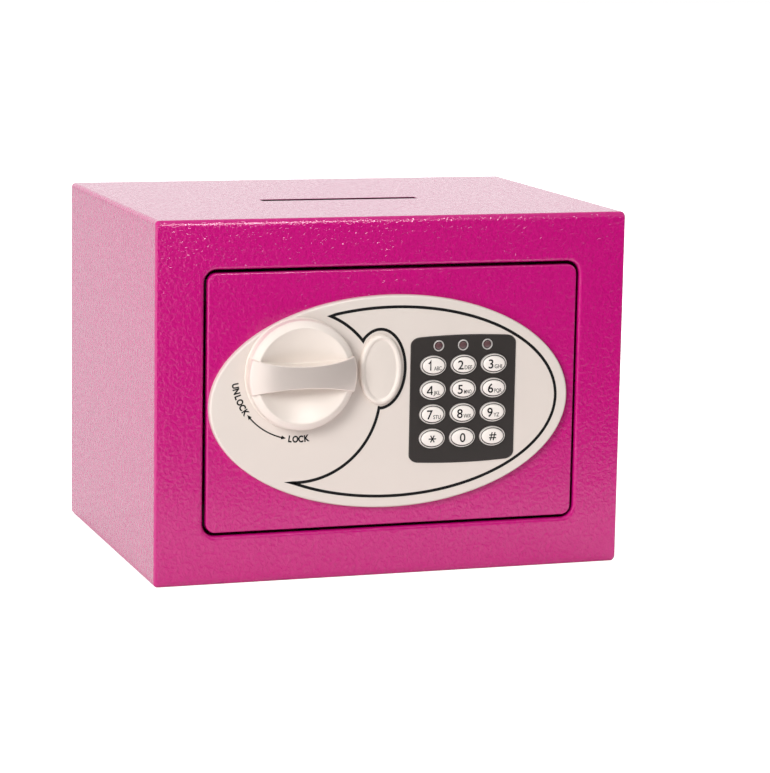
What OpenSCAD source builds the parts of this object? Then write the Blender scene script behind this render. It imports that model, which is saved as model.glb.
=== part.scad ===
// Compact sheet-steel electronic safe with a coin slot in its roof.
// Millimetres. Origin at the middle of the base, +Z up, the door faces -Y.

/* [Cabinet] */
// Outside width
cabinet_w = 230; // [226:1:300]
// Outside depth, without the knob
cabinet_d = 170; // [140:1:260]
// Outside height
cabinet_h = 170; // [160:1:240]
// Sheet of the body
sheet_t = 2; // [1.5:0.1:2.5]
// Bend radius of the outer edges
edge_r = 3; // [2.6:0.1:5]
// Width of the frame round the door opening
frame_border = 23; // [22:0.5:26]
// Corner radius of the door opening
opening_r = 6; // [3:0.5:9]

/* [Coin slot] */
// Length of the slot
slot_l = 79; // [30:1:120]
// Width of the slot
slot_w = 7; // [5:0.5:10]
// Middle of the slot, right of the cabinet's middle
slot_x = -4; // [-20:1:20]
// Middle of the slot behind the front face
slot_back = 75.5; // [55:0.5:100]

/* [Anchor holes] */
// Bore of the anchor holes
anchor_d = 9; // [6:0.5:12]
// Pitch of each pair
anchor_pitch = 100; // [60:5:140]
// Base holes behind the cabinet's middle
anchor_back = 25; // [0:1:45]

/* [Door] */
// Door plate
door_t = 3; // [2.5:0.1:3.5]
// Gap between door and frame
door_gap = 1.5; // [1.4:0.1:2]
// Depth of the inner cover behind the door plate
cover_depth = 32; // [30:1:45]
// Sheet of the inner cover
cover_t = 1; // [0.8:0.1:1.5]
// Inner cover's distance from the door's edges
cover_inset = 9.5; // [8.5:0.5:10.5]
// Diameter of the cover's posts
post_d = 7; // [6:0.5:8]

/* [Hinge] */
// Rod that the door turns on
rod_d = 4; // [3:0.5:5]
// Barrel at the end of each arm
barrel_d = 7; // [6.5:0.5:8]
// Pivot's distance outside the door's edge
pivot_out = 12; // [11:0.5:13]
// Thickness of the swan-neck arms
arm_t = 3; // [2:0.5:3.5]
// Height of each arm
arm_h = 16; // [12:1:20]
// Arms above and below the door's middle
arm_rise = 38; // [34:1:42]
// Thickness of the hinge lugs
lug_t = 2.5; // [2:0.5:4]

/* [Bolt-work] */
// Locking bolts
bolt_d = 12; // [8:0.5:12.5]
// Pitch of the two bolts
bolt_pitch = 50; // [46:1:54]
// Throw of the bolts
bolt_throw = 12; // [10:0.5:12.5]
// Sheet of carriage and guide
carriage_t = 2; // [1.5:0.1:2.5]
// Spindle behind the knob
spindle_d = 8; // [6:0.5:9]
// Drive pin on the cam
pin_d = 4; // [3:0.5:4.5]
// Stroke of the solenoid's plunger
plunger_stroke = 5; // [3:0.5:5.5]
// Plunger
plunger_d = 6; // [5:0.5:7]

/* [Faceplate] */
// Width of the oval plate
plate_w = 176; // [168:1:180]
// Height of the oval plate
plate_h = 100.4; // [96:0.2:108]
// Thickness of the plate
plate_t = 3; // [2.5:0.1:4]
// Middle of the plate, right of the door's middle
plate_dx = -2; // [-3:0.5:2]
// Middle of the plate, above the door's middle
plate_dz = -1.6; // [-3:0.1:3]

/* [Keypad] */
// Width of the dark panel
panel_w = 52.5; // [50:0.5:58]
// Height of the dark panel
panel_h = 61; // [58:0.5:66]
// Panel's middle, right of the plate's middle
panel_x = 35; // [32:0.5:37]
// Width of a key with its skirt
key_w = 12.7; // [10:0.1:13]
// Height of a key with its skirt
key_h = 9.3; // [7:0.1:9.6]
// Column pitch
key_pitch_x = 15.1; // [15:0.1:16]
// Row pitch
key_pitch_z = 11.55; // [11.5:0.05:11.8]
// Travel of a key
key_travel = 1; // [0.5:0.1:1]
// Lens of an indicator
led_d = 3.6; // [3:0.1:4]

/* [Knob] */
// Knob's axis, right of the plate's middle
knob_x = -45.5; // [-48:0.5:-43]
// Knob's axis, above the plate's middle
knob_z = 15; // [12:0.5:16]
// Diameter at the foot
knob_d = 51.5; // [44:0.5:53]
// Height of the grip's crest above the plate
knob_h = 12.5; // [11:0.5:16]

/* [Key override] */
// Lock's axis, right of the plate's middle
lock_x = -6.2; // [-8:0.1:-5]
// Lock's axis, above the plate's middle
lock_z = 15.6; // [14:0.1:18]
// Width of the oval cover
oval_w = 21; // [20:0.5:24]
// Height of the oval cover
oval_h = 33; // [30:0.5:36]
// Barrel of the lock
lock_d = 14; // [12:0.5:14.5]

/* [Battery box] */
// Cell diameter
cell_d = 14.2; // [10:0.1:14.5]
// Cell length
cell_l = 50; // [43:0.5:51]

/* [Fits] */
// Shaft in a bore, on the radius
run_fit = 0.05; // [0.03:0.01:0.1]
// Sliding and screw clearance, on the radius
slide_fit = 0.2; // [0.15:0.05:0.3]
// Slack of the drive slot, each side
slot_fit = 0.4; // [0.35:0.05:0.6]

/* [Hidden] */
$fn = 64;
half_turn = 45;
front_y = -cabinet_d / 2;
back_y = cabinet_d / 2;
mid_z = cabinet_h / 2;
opening_w = cabinet_w - 2 * frame_border;
opening_h = cabinet_h - 2 * frame_border;
door_w = opening_w - 2 * door_gap;
door_h = opening_h - 2 * door_gap;
door_y = front_y + door_t;
door_x0 = -door_w / 2;
door_x1 = door_w / 2;
plate_z = mid_z + plate_dz;
plate_y = front_y - plate_t;

pivot_x = door_x1 + pivot_out;
pivot_y = front_y + sheet_t + barrel_d / 2 + 0.5;
swing_r = norm([pivot_out - door_gap, pivot_y - front_y]) + 0.9;

cover_x0 = door_x0 + cover_inset;
cover_x1 = door_x1 - cover_inset - 1;
cover_z0 = mid_z - door_h / 2 + 5.5;
cover_z1 = mid_z + door_h / 2 - 5.5;
cover_y = door_y + cover_depth;
post_in = 8;
screw_r = 1.5;
bush_r = spindle_d / 2 + 2;

axis_x = plate_dx + knob_x;
axis_z = plate_z + knob_z;
crank_r = bolt_throw / 2 / sin(half_turn);
cam_r = crank_r + 3.5;
bolt_y = door_y + bolt_d / 2 + 1;
bolt_tip = door_x0 + 2.5;
flange_x = axis_x - cam_r - 3 - carriage_t;
guide_x = door_x0 + 4.5;
carriage_y = door_y + 8;
carriage_z1 = mid_z + bolt_pitch / 2 + 14;
carriage_z0 = axis_z - 23;
stud_r = 2.5;
stud_x = flange_x + carriage_t + 5;
stud_z = [axis_z - 15.5, axis_z + 20.5];
drive_x = axis_x + bolt_throw / 2;

knob_r = knob_d / 2;
rim_h = knob_h - 4.7;
edge_h = rim_h - 1.5;
dish_r = knob_r - 3.7;
dish_deep = rim_h - 3.2;
dish_ball = (dish_r * dish_r + dish_deep * dish_deep) / 2 / dish_deep;
crest_r = 71;
waist_r = 105;
waist = 10.3;
strip_t = 1.2;

override_x = plate_dx + lock_x;
override_z = plate_z + lock_z;
lock_y = door_y + 14;
arm_len = 20;

solenoid_x = override_x - 14;
solenoid_w = 20;
lug_z = override_z - 19;
coil_y = carriage_y + carriage_t / 2;
solenoid_z1 = lug_z - 6;
solenoid_z0 = solenoid_z1 - 28;
tip_z = lug_z - 0.4;
solenoid_mid = (solenoid_z0 + solenoid_z1) / 2;
coil_r = 7.3;
collar_r = plunger_d / 2 + 1.8;
collar_z = solenoid_z1 + 1.5;
collar_t = 1;
trip_len = 8.5;

pad_x = plate_dx + panel_x;
pad_z = plate_z + 0.2;
panel_y = plate_y - 0.5;
panel_t = 1.2;
pocket_w = panel_w - 5;
pocket_h = panel_h - 5;
flange_y = panel_y + panel_t + 0.1;
board_t = 1.4;
led_z = pad_z + 25.6;
lead_r = 1.1;
lead_x = panel_w / 2 - 8.25;

cell_pitch = cell_d + 0.8;
tray_w = cell_l + 14;
tray_h = 4 * cell_pitch + 3.2;
tray_x = cover_x1 - tray_w / 2 - 2;
tray_y1 = cover_y - cover_t;
tray_y0 = tray_y1 - cell_d - 2;
tray_z = mid_z - 4;
cell_y = tray_y0 + 1.4 + cell_d / 2;
reset_x = cover_x1 - 22;
reset_z = cover_z1 - 13;

paint = [0.75, 0.1, 0.46];
steel = [0.72, 0.73, 0.75];
plastic = [0.9, 0.87, 0.84];
dark = [0.2, 0.19, 0.19];
brass = [0.78, 0.66, 0.36];

// A flat shape drawn in X and Z, as thick as from y0 to y1
module slab(y0, y1) translate([0, y1, 0]) rotate([90, 0, 0]) linear_extrude(y1 - y0) children();

// A round bar along Y
module bar_y(x, z, y0, y1, r) translate([x, y1, z]) rotate([90, 0, 0]) cylinder(h = y1 - y0, r = r);

// A round bar along X
module bar_x(x0, x1, y, z, r) translate([x0, y, z]) rotate([0, 90, 0]) cylinder(h = x1 - x0, r = r);

// A block between two corners
module block(x0, x1, y0, y1, z0, z1) translate([x0, y0, z0]) cube([x1 - x0, y1 - y0, z1 - z0]);

module ellipse2(w, h) scale([1, h / w]) circle(d = w);

module rounded2(w, h, r) {
    square([w - 2 * r, h], center = true);
    square([w, h - 2 * r], center = true);
    for (x = [-1, 1], z = [-1, 1]) translate([x * (w / 2 - r), z * (h / 2 - r)]) circle(r = r);
}

module slot2(l, w) {
    square([l - w, w], center = true);
    for (s = [-1, 1]) translate([s * (l - w) / 2, 0]) circle(d = w);
}

// Square cornered at the back, rounded at the front
module front_rounded2(w, l, r) {
    translate([-w / 2 + r, 0]) square([w - 2 * r, l]);
    translate([-w / 2, r]) square([w, l - r]);
    for (s = [-1, 1]) translate([s * (w / 2 - r), r]) circle(r = r);
}

module cabinet_shell() color(paint) difference() {
    intersection() {
        slab(front_y, back_y) translate([0, mid_z]) rounded2(cabinet_w, cabinet_h, edge_r);
        translate([0, front_y, 0]) linear_extrude(cabinet_h) front_rounded2(cabinet_w, cabinet_d, edge_r);
        translate([-cabinet_w / 2, front_y, mid_z]) rotate([90, 0, 90])
            linear_extrude(cabinet_w) rotate(-90) front_rounded2(cabinet_h, cabinet_d, edge_r);
    }
    block(-cabinet_w / 2 + sheet_t, cabinet_w / 2 - sheet_t, front_y + sheet_t, back_y + 1,
        sheet_t, cabinet_h - sheet_t);
    slab(front_y - 1, front_y + sheet_t + 1) translate([0, mid_z]) rounded2(opening_w, opening_h, opening_r);
    translate([slot_x, front_y + slot_back, cabinet_h - sheet_t - 1])
        linear_extrude(sheet_t + 2) slot2(slot_l, slot_w);
    for (s = [-1, 1]) translate([s * anchor_pitch / 2, anchor_back, -1])
        cylinder(h = sheet_t + 2, d = anchor_d);
}

module back_panel() color(paint) difference() {
    block(-cabinet_w / 2 + sheet_t, cabinet_w / 2 - sheet_t, back_y - 1 - sheet_t, back_y - 1,
        sheet_t, cabinet_h - sheet_t);
    for (s = [-1, 1]) bar_y(s * anchor_pitch / 2, mid_z, back_y - 5 - sheet_t, back_y, anchor_d / 2);
}

// Joggled clips behind the lock side of the frame that the door shuts against
module door_stops() color(paint) for (s = [-1, 1]) translate([0, 0, mid_z + s * (door_h / 2 - 8)]) {
    block(-cabinet_w / 2 + sheet_t, -opening_w / 2 - 1, front_y + sheet_t, door_y + 0.5 + sheet_t, -5, 5);
    block(-opening_w / 2 - 1, door_x0 + 5, door_y + 0.5, door_y + 0.5 + sheet_t, -5, 5);
}

// Pairs of lugs on the right wall, one above and one below each arm
module hinge_lugs() color(paint) for (s = [-1, 1], t = [0, 1])
    translate([0, 0, mid_z + s * arm_rise + (t == 0 ? arm_h / 2 + 0.3 : -arm_h / 2 - 0.3 - lug_t)])
        difference() {
            block(pivot_x - barrel_d / 2 - 0.5, cabinet_w / 2 - sheet_t,
                front_y + sheet_t, pivot_y + barrel_d / 2 + 0.5, 0, lug_t);
            translate([pivot_x, pivot_y, -1]) cylinder(h = lug_t + 2, r = rod_d / 2 + run_fit);
        }

module hinge_rods() color(steel) for (s = [-1, 1]) translate([pivot_x, pivot_y, mid_z + s * arm_rise]) {
    reach = arm_h / 2 + 0.3 + lug_t;
    translate([0, 0, -reach - 1]) cylinder(h = 2 * reach + 1, d = rod_d);
    translate([0, 0, reach]) cylinder(h = 1.2, d = rod_d + 2);
}

module door_panel() color(paint) difference() {
    slab(front_y, door_y) translate([0, mid_z]) rounded2(door_w, door_h, opening_r - door_gap);
    bar_y(axis_x, axis_z, front_y - 1, door_y + 1, bush_r + run_fit);
    bar_y(override_x, override_z, front_y - 1, door_y + 1, lock_d / 2 + run_fit);
    slab(front_y - 1, door_y + 1) translate([pad_x, pad_z]) rounded2(pocket_w + 4, pocket_h + 4, 2);
    plate_screw_places() bar_y(0, 0, front_y - 1, door_y + 1, screw_r + slide_fit);
}

// Swan-neck arms: a bow round the frame's edge from the door's back to the barrel
module hinge_arms() color(paint) for (s = [-1, 1])
    translate([pivot_x, pivot_y, mid_z + s * arm_rise - arm_h / 2]) linear_extrude(arm_h) difference() {
        union() {
            intersection() {
                difference() {
                    circle(r = swing_r + arm_t);
                    circle(r = swing_r);
                }
                polygon([[0, door_y - pivot_y], [0, 0], 40 * [cos(75), sin(75)], [-40, 40],
                    [-40, door_y - pivot_y]]);
            }
            rotate(75) translate([0, -arm_t / 2]) square([swing_r + arm_t / 2, arm_t]);
            circle(d = barrel_d);
        }
        circle(r = rod_d / 2 + run_fit);
    }

module door_cover() color(dark) difference() {
    block(cover_x0, cover_x1, door_y, cover_y, cover_z0, cover_z1);
    block(cover_x0 + cover_t, cover_x1 - cover_t, door_y - 1, cover_y - cover_t,
        cover_z0 + cover_t, cover_z1 - cover_t);
    for (s = [-1, 1]) translate([0, 0, mid_z + s * bolt_pitch / 2])
        block(cover_x0 - 1, cover_x0 + cover_t + 1, door_y - 1, bolt_y + bolt_d / 2 + 1,
            -bolt_d / 2 - 1, bolt_d / 2 + 1);
    post_places() bar_y(0, 0, cover_y - cover_t - 1, cover_y + 1, screw_r + slide_fit);
    slab(cover_y - cover_t - 1, cover_y + 1) translate([tray_x, tray_z]) rounded2(tray_w - 4, tray_h - 4, 2);
    bar_y(reset_x, reset_z, cover_y - cover_t - 1, cover_y + 1, 3.1 + slide_fit);
}

module post_places() for (x = [cover_x0 + post_in, cover_x1 - post_in],
        z = [cover_z0 + post_in, cover_z1 - post_in]) translate([x, 0, z]) children();

module cover_posts() color(steel) post_places() difference() {
    bar_y(0, 0, door_y, cover_y - cover_t, post_d / 2);
    bar_y(0, 0, cover_y - 12, cover_y, screw_r + run_fit);
}

module cover_screws() color(steel) post_places() {
    bar_y(0, 0, cover_y - 10, cover_y, screw_r);
    bar_y(0, 0, cover_y, cover_y + 1.6, 2.8);
}

module bolt_guide() color(steel) difference() {
    block(guide_x, guide_x + carriage_t, door_y, bolt_y + bolt_d / 2 + 2,
        mid_z - bolt_pitch / 2 - bolt_d / 2 - 4, mid_z + bolt_pitch / 2 + bolt_d / 2 + 4);
    for (s = [-1, 1]) bar_x(guide_x - 1, guide_x + carriage_t + 1, bolt_y, mid_z + s * bolt_pitch / 2,
        bolt_d / 2 + run_fit);
}

module guide_studs() color(steel) for (z = stud_z) {
    bar_y(stud_x, z, door_y, carriage_y - slide_fit, 4);
    bar_y(stud_x, z, door_y, carriage_y + carriage_t + 1.8, stud_r);
}

module stud_clips() color(steel) for (z = stud_z) difference() {
    bar_y(stud_x, z, carriage_y + carriage_t + slide_fit, carriage_y + carriage_t + slide_fit + 1, 4.5);
    bar_y(stud_x, z, carriage_y, carriage_y + carriage_t + 3, stud_r + run_fit);
}

module panel2(w, h, r) intersection() {
    rounded2(w, h, r);
    for (s = [-1, 1]) translate([0, s * (h / 2 - 5 * w)]) circle(r = 5 * w, $fn = 180);
}

module plate_screw_places() for (p = [[-52, -20], [-2, -38], [4, 40], [73, 0]])
    translate([plate_dx + p[0], 0, plate_z + p[1]]) children();

module faceplate() color(plastic) difference() {
    slab(plate_y, front_y) translate([plate_dx, plate_z]) ellipse2(plate_w, plate_h);
    bar_y(axis_x, axis_z, plate_y - 1, front_y + 1, bush_r + 2.4);
    slab(plate_y - 1, front_y + 1) translate([override_x, override_z]) ellipse2(oval_w - 3, oval_h - 3.8);
    slab(plate_y - 1, panel_y + panel_t) translate([pad_x, pad_z])
        rounded2(panel_w + slide_fit, panel_h + slide_fit, 5);
    slab(plate_y - 1, front_y + 1) translate([pad_x, pad_z]) rounded2(pocket_w, pocket_h, 3);
    plate_screw_places() bar_y(0, 0, front_y - 2, front_y + 1, screw_r + run_fit);
}

module faceplate_screws() color(steel) plate_screw_places() {
    bar_y(0, 0, front_y - 1.8, door_y, screw_r);
    bar_y(0, 0, door_y, door_y + 1.6, 2.8);
}

module spindle_bush() color(brass) difference() {
    union() {
        bar_y(axis_x, axis_z, front_y, door_y + 1, bush_r);
        bar_y(axis_x, axis_z, front_y - 1.2, front_y, bush_r + 2);
    }
    bar_y(axis_x, axis_z, front_y - 2, door_y + 2, spindle_d / 2 + run_fit);
}

module led_places() for (i = [-1:1]) translate([pad_x - 0.4 + 12.1 * i, 0, led_z]) children();

module key_place(col, row)
    translate([pad_x + key_pitch_x * (col - 1), 0, pad_z - 1 + key_pitch_z * (1.5 - row)]) children();

module keypad_panel() color(dark) difference() {
    slab(panel_y, panel_y + panel_t) translate([pad_x, pad_z]) panel2(panel_w, panel_h, 5);
    for (col = [0:2], row = [0:3]) key_place(col, row)
        slab(panel_y - 1, panel_y + panel_t + 1) ellipse2(key_w + 0.5, key_h + 0.5);
    led_places() bar_y(0, 0, panel_y - 1, panel_y + panel_t + 1, led_d / 2 + 0.8 + run_fit);
}

module led_bezels() color(steel) led_places() difference() {
    bar_y(0, 0, panel_y - 0.5, panel_y + panel_t, led_d / 2 + 0.8);
    bar_y(0, 0, panel_y - 1, panel_y + panel_t + 1, led_d / 2 + run_fit);
}

module led_lenses() color([0.4, 0.3, 0.3]) led_places() bar_y(0, 0, panel_y - 0.7, front_y, led_d / 2);

module keypad_board() color([0.1, 0.35, 0.2]) slab(front_y, front_y + board_t)
    translate([pad_x, pad_z]) rounded2(pocket_w + 3, pocket_h + 3, 1.5);

// A lead from point to point, with round corners
module lead(points, r) for (i = [1:len(points) - 1]) {
    run = points[i] - points[i - 1];
    translate(points[i - 1]) rotate([0, acos(run[2] / norm(run)), atan2(run[1], run[0])])
        cylinder(h = norm(run), r = r, $fn = 24);
    if (i < len(points) - 1) translate(points[i]) sphere(r = r, $fn = 24);
}

module wire_leads() color([0.7, 0.15, 0.12]) {
    board_y = front_y + board_t;
    lead([[pad_x - lead_x, board_y, solenoid_mid], [pad_x - lead_x, coil_y, solenoid_mid],
        [solenoid_x + coil_r + slide_fit, coil_y, solenoid_mid]], lead_r);
    lead([[pad_x + lead_x - 3, board_y, tray_z], [pad_x + lead_x - 3, tray_y0, tray_z]], lead_r);
    lead([[pad_x + lead_x, board_y, pad_z + 22], [pad_x + lead_x, door_y + 6, pad_z + 22],
        [pad_x + lead_x, door_y + 6, reset_z], [reset_x, door_y + 6, reset_z],
        [reset_x, cover_y - 13, reset_z]], lead_r);
}

module lock_barrel() color(brass) difference() {
    union() {
        bar_y(override_x, override_z, front_y, lock_y, lock_d / 2);
        bar_y(override_x, override_z, front_y - 1.3, front_y, lock_d / 2 + 1.5);
    }
    bar_y(override_x, override_z, front_y - 2, lock_y + 1, 4.5 + run_fit);
}

module lock_nut() color(steel) difference() {
    translate([override_x, door_y + 4, override_z]) rotate([90, 0, 0])
        cylinder(h = 4, r = lock_d / 2 + 4.5, $fn = 6);
    bar_y(override_x, override_z, door_y - 1, door_y + 5, lock_d / 2 + run_fit);
}

module lock_plug() color(brass) difference() {
    union() {
        bar_y(override_x, override_z, front_y - 1.2, lock_y, 4.5);
        bar_y(override_x, override_z, front_y, lock_y + 3, 3);
    }
    block(override_x - 0.8, override_x + 0.8, front_y - 2, front_y + 10, override_z - 3.5, override_z + 3.5);
    bar_y(override_x, override_z, lock_y - 5, lock_y + 4, screw_r + run_fit);
}

module override_cam() color(steel) slab(lock_y + 0.8, lock_y + 2.8)
    translate([override_x, override_z]) difference() {
        union() {
            circle(r = 6);
            rotate(135) translate([0, -3.5]) square([arm_len, 7]);
        }
        circle(r = 3 + run_fit);
    }

module override_screw() color(steel) {
    bar_y(override_x, override_z, lock_y - 4, lock_y + 3, screw_r);
    bar_y(override_x, override_z, lock_y + 3, lock_y + 5, 4.2);
}

module override_cover() color(plastic) translate([override_x, 0, override_z]) {
    difference() {
        slab(plate_y - 2.5, plate_y) ellipse2(oval_w, oval_h);
        slab(plate_y - 3, plate_y - 1.8) ellipse2(oval_w - 5.4, oval_h - 3.6);
    }
    slab(plate_y, front_y - 1.5) difference() {
        ellipse2(oval_w - 3.4, oval_h - 4.2);
        ellipse2(oval_w - 6, oval_h - 7);
    }
}

module solenoid_frame() color(steel) difference() {
    for (p = [[1.5, solenoid_z0, solenoid_z1], [18, solenoid_z0, solenoid_z0 + 1.5],
        [18, solenoid_z1 - 1.5, solenoid_z1]])
        block(solenoid_x - solenoid_w / 2, solenoid_x + solenoid_w / 2, door_y, door_y + p[0], p[1], p[2]);
    translate([solenoid_x, coil_y, solenoid_z0 - 1])
        cylinder(h = solenoid_z1 - solenoid_z0 + 2, r = plunger_d / 2 + run_fit);
}

module solenoid_coil() color([0.75, 0.45, 0.2]) translate([solenoid_x, coil_y, solenoid_z0 + 1.7]) difference() {
    cylinder(h = solenoid_z1 - solenoid_z0 - 3.4, r = coil_r);
    translate([0, 0, -1]) cylinder(h = solenoid_z1 - solenoid_z0, r = plunger_d / 2 + slide_fit);
}

module plunger_spring() color(steel) translate([solenoid_x, coil_y, solenoid_z1]) difference() {
    cylinder(h = 1.4, r = plunger_d / 2 + 1.5);
    translate([0, 0, -1]) cylinder(h = 4, r = plunger_d / 2 + slide_fit);
}

// Plunger with its collar and the pin that the override cam reaches for
module solenoid_plunger() color(steel) {
    translate([solenoid_x, coil_y, solenoid_z0 - 2]) cylinder(h = tip_z - solenoid_z0 + 2, d = plunger_d);
    translate([solenoid_x, coil_y, collar_z]) cylinder(h = collar_t, r = collar_r);
    bar_y(solenoid_x, tip_z - 2.2, coil_y, coil_y + trip_len, 1.2);
}

module bolt_cam() color(steel) slab(door_y + 2, door_y + 5) translate([axis_x, axis_z]) difference() {
    circle(r = cam_r);
    circle(r = spindle_d / 2 + run_fit);
    rotate(half_turn) translate([crank_r, 0]) circle(r = pin_d / 2 + run_fit);
}

module drive_pin() color(steel) bar_y(drive_x, axis_z + crank_r * cos(half_turn), door_y + 2,
    carriage_y + carriage_t + 1.5, pin_d / 2);

module cam_screw() color(steel) {
    bar_y(axis_x, axis_z, door_y - 6, door_y + 5, 2);
    bar_y(axis_x, axis_z, door_y + 5, door_y + 7, spindle_d / 2 + 0.7);
}

module knob_spindle() color(steel) difference() {
    bar_y(axis_x, axis_z, plate_y - 8.5, door_y + 5, spindle_d / 2);
    bar_y(axis_x, axis_z, door_y - 7, door_y + 6, 2 + run_fit);
}

// Knob shapes stand on z = 0 with the grip along X
module at_knob() translate([axis_x, plate_y - slide_fit, axis_z]) rotate([90, 0, 0]) children();

module grip_prism(slack = 0) linear_extrude(2 * knob_h) difference() {
    square([2 * knob_r, waist + 8], center = true);
    for (s = [-1, 1]) translate([0, s * (waist / 2 + waist_r + slack)]) circle(r = waist_r, $fn = 180);
}

module crest(r) translate([0, knob_r, knob_h - crest_r]) rotate([90, 0, 0]) cylinder(h = 2 * knob_r, r = r, $fn = 180);

module knob_flank() rotate_extrude() polygon([[0, 0], [knob_r + 0.6, 0], [knob_r + 0.6, 0.6],
    [knob_r, 0.9], [knob_r - 0.35, knob_h + 1], [0, knob_h + 1]]);

// What the bevelled rim and the dishes leave free
module knob_air() rotate_extrude() intersection() {
    square([knob_r + 2, knob_h + 2]);
    union() {
        polygon([[0, rim_h], [dish_r + 0.5, rim_h], [knob_r - 0.9, edge_h + 0.15],
            [knob_r - 0.3, edge_h - 0.5], [knob_r + 2, edge_h - 0.5], [knob_r + 2, knob_h + 2],
            [0, knob_h + 2]]);
        translate([0, rim_h + dish_ball - dish_deep]) circle(r = dish_ball, $fn = 180);
    }
}

module knob_body() color(plastic) at_knob() difference() {
    knob_flank();
    difference() {
        knob_air();
        grip_prism();
    }
    difference() {
        grip_prism(slide_fit);
        crest(crest_r - strip_t - run_fit);
    }
    translate([0, 0, -1]) cylinder(h = 9.5 - slide_fit, r = spindle_d / 2 + run_fit);
}

module knob_grip() color([0.95, 0.94, 0.93]) at_knob() intersection() {
    knob_flank();
    grip_prism();
    difference() {
        crest(crest_r);
        crest(crest_r - strip_t);
    }
}

module bolt_carriage() color(steel) difference() {
    union() {
        block(flange_x, flange_x + carriage_t, door_y + 1, carriage_y + carriage_t,
            mid_z - bolt_pitch / 2 - 10, carriage_z1);
        block(flange_x, drive_x + 7, carriage_y, carriage_y + carriage_t, carriage_z0, carriage_z1);
        block(flange_x, solenoid_x + bolt_throw + 6, carriage_y, carriage_y + carriage_t, lug_z, lug_z + 9.5);
    }
    slab(carriage_y - 1, carriage_y + carriage_t + 1) {
        translate([drive_x, axis_z + crank_r * (1 + cos(half_turn)) / 2]) rotate(90)
            slot2(crank_r * (1 - cos(half_turn)) + pin_d + 2, pin_d + 2 * slot_fit);
        for (z = stud_z) translate([stud_x + bolt_throw / 2, z])
            slot2(bolt_throw + 2 * stud_r + 2 * slide_fit, 2 * stud_r + 2 * slide_fit);
        for (x = [0, bolt_throw]) translate([solenoid_x + x, lug_z])
            square([plunger_d + 2 * slot_fit, 2 * plunger_stroke + 1.2], center = true);
        for (x = [0, bolt_throw]) translate([solenoid_x + x, lug_z]) square([2 * (collar_r + slot_fit),
            2 * (collar_z + collar_t + plunger_stroke + slot_fit - lug_z)], center = true);
        for (s = [-1, 1]) translate([flange_x + carriage_t, mid_z + s * bolt_pitch / 2 - 4]) square([6, 8]);
    }
    for (s = [-1, 1]) bar_x(flange_x - 1, flange_x + carriage_t + 1, bolt_y, mid_z + s * bolt_pitch / 2,
        2 + run_fit);
}

module lock_bolts() color(steel) for (s = [-1, 1]) difference() {
    bar_x(bolt_tip, flange_x, bolt_y, mid_z + s * bolt_pitch / 2, bolt_d / 2);
    bar_x(flange_x - 10, flange_x + 1, bolt_y, mid_z + s * bolt_pitch / 2, 2 + run_fit);
}

module bolt_screws() color(steel) for (s = [-1, 1]) {
    bar_x(flange_x - 8, flange_x + carriage_t, bolt_y, mid_z + s * bolt_pitch / 2, 2);
    bar_x(flange_x + carriage_t, flange_x + carriage_t + 2, bolt_y, mid_z + s * bolt_pitch / 2, 3.5);
}

module cell_places() for (i = [-1.5:1:1.5]) translate([tray_x, cell_y, tray_z + i * cell_pitch]) children();

module battery_tray() color(dark) difference() {
    block(tray_x - tray_w / 2, tray_x + tray_w / 2, tray_y0, tray_y1, tray_z - tray_h / 2, tray_z + tray_h / 2);
    block(tray_x - tray_w / 2 + 1.2, tray_x + tray_w / 2 - 1.2, tray_y0 + 1.2, tray_y1 + 1,
        tray_z - tray_h / 2 + 1.2, tray_z + tray_h / 2 - 1.2);
}

module battery_cells() color([0.25, 0.3, 0.38]) cell_places() bar_x(-cell_l / 2, cell_l / 2, 0, 0, cell_d / 2);

module battery_contacts() color(steel) cell_places() {
    bar_x(-tray_w / 2 + 1.2, -cell_l / 2, 0, 0, 3.5);
    bar_x(cell_l / 2, tray_w / 2 - 1.2, 0, 0, 3.5);
}

module battery_lid() color(dark) translate([tray_x, 0, tray_z]) {
    slab(cover_y, cover_y + 1.8) rounded2(tray_w + 2, tray_h + 2, 3);
    slab(cover_y - 1.6, cover_y) difference() {
        rounded2(tray_w - 4.4, tray_h - 4.4, 2);
        rounded2(tray_w - 7, tray_h - 7, 1);
    }
}

module reset_switch() color(dark) difference() {
    block(reset_x - 5, reset_x + 5, cover_y - 13, cover_y - cover_t, reset_z - 5, reset_z + 5);
    bar_y(reset_x, reset_z, cover_y - 5, cover_y, 3.1 + slide_fit);
}

module reset_button() color([0.75, 0.08, 0.08]) bar_y(reset_x, reset_z, cover_y - 3.4, cover_y + 2, 3.1);

module key_cap(col, row) color(plastic) key_place(col, row) {
    slab(panel_y - 1.7, panel_y - 0.8) ellipse2(key_w - 2.6, key_h - 2.1);
    slab(panel_y - 0.8, flange_y) ellipse2(key_w, key_h);
    slab(flange_y, flange_y + 0.8) ellipse2(key_w + 1.2, key_h + 1.2);
    bar_y(0, 0, flange_y + 0.8, front_y - key_travel - run_fit, 2.5);
}

module key_1() key_cap(0, 0);
module key_2() key_cap(1, 0);
module key_3() key_cap(2, 0);
module key_4() key_cap(0, 1);
module key_5() key_cap(1, 1);
module key_6() key_cap(2, 1);
module key_7() key_cap(0, 2);
module key_8() key_cap(1, 2);
module key_9() key_cap(2, 2);
module key_star() key_cap(0, 3);
module key_0() key_cap(1, 3);
module key_hash() key_cap(2, 3);

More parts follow.
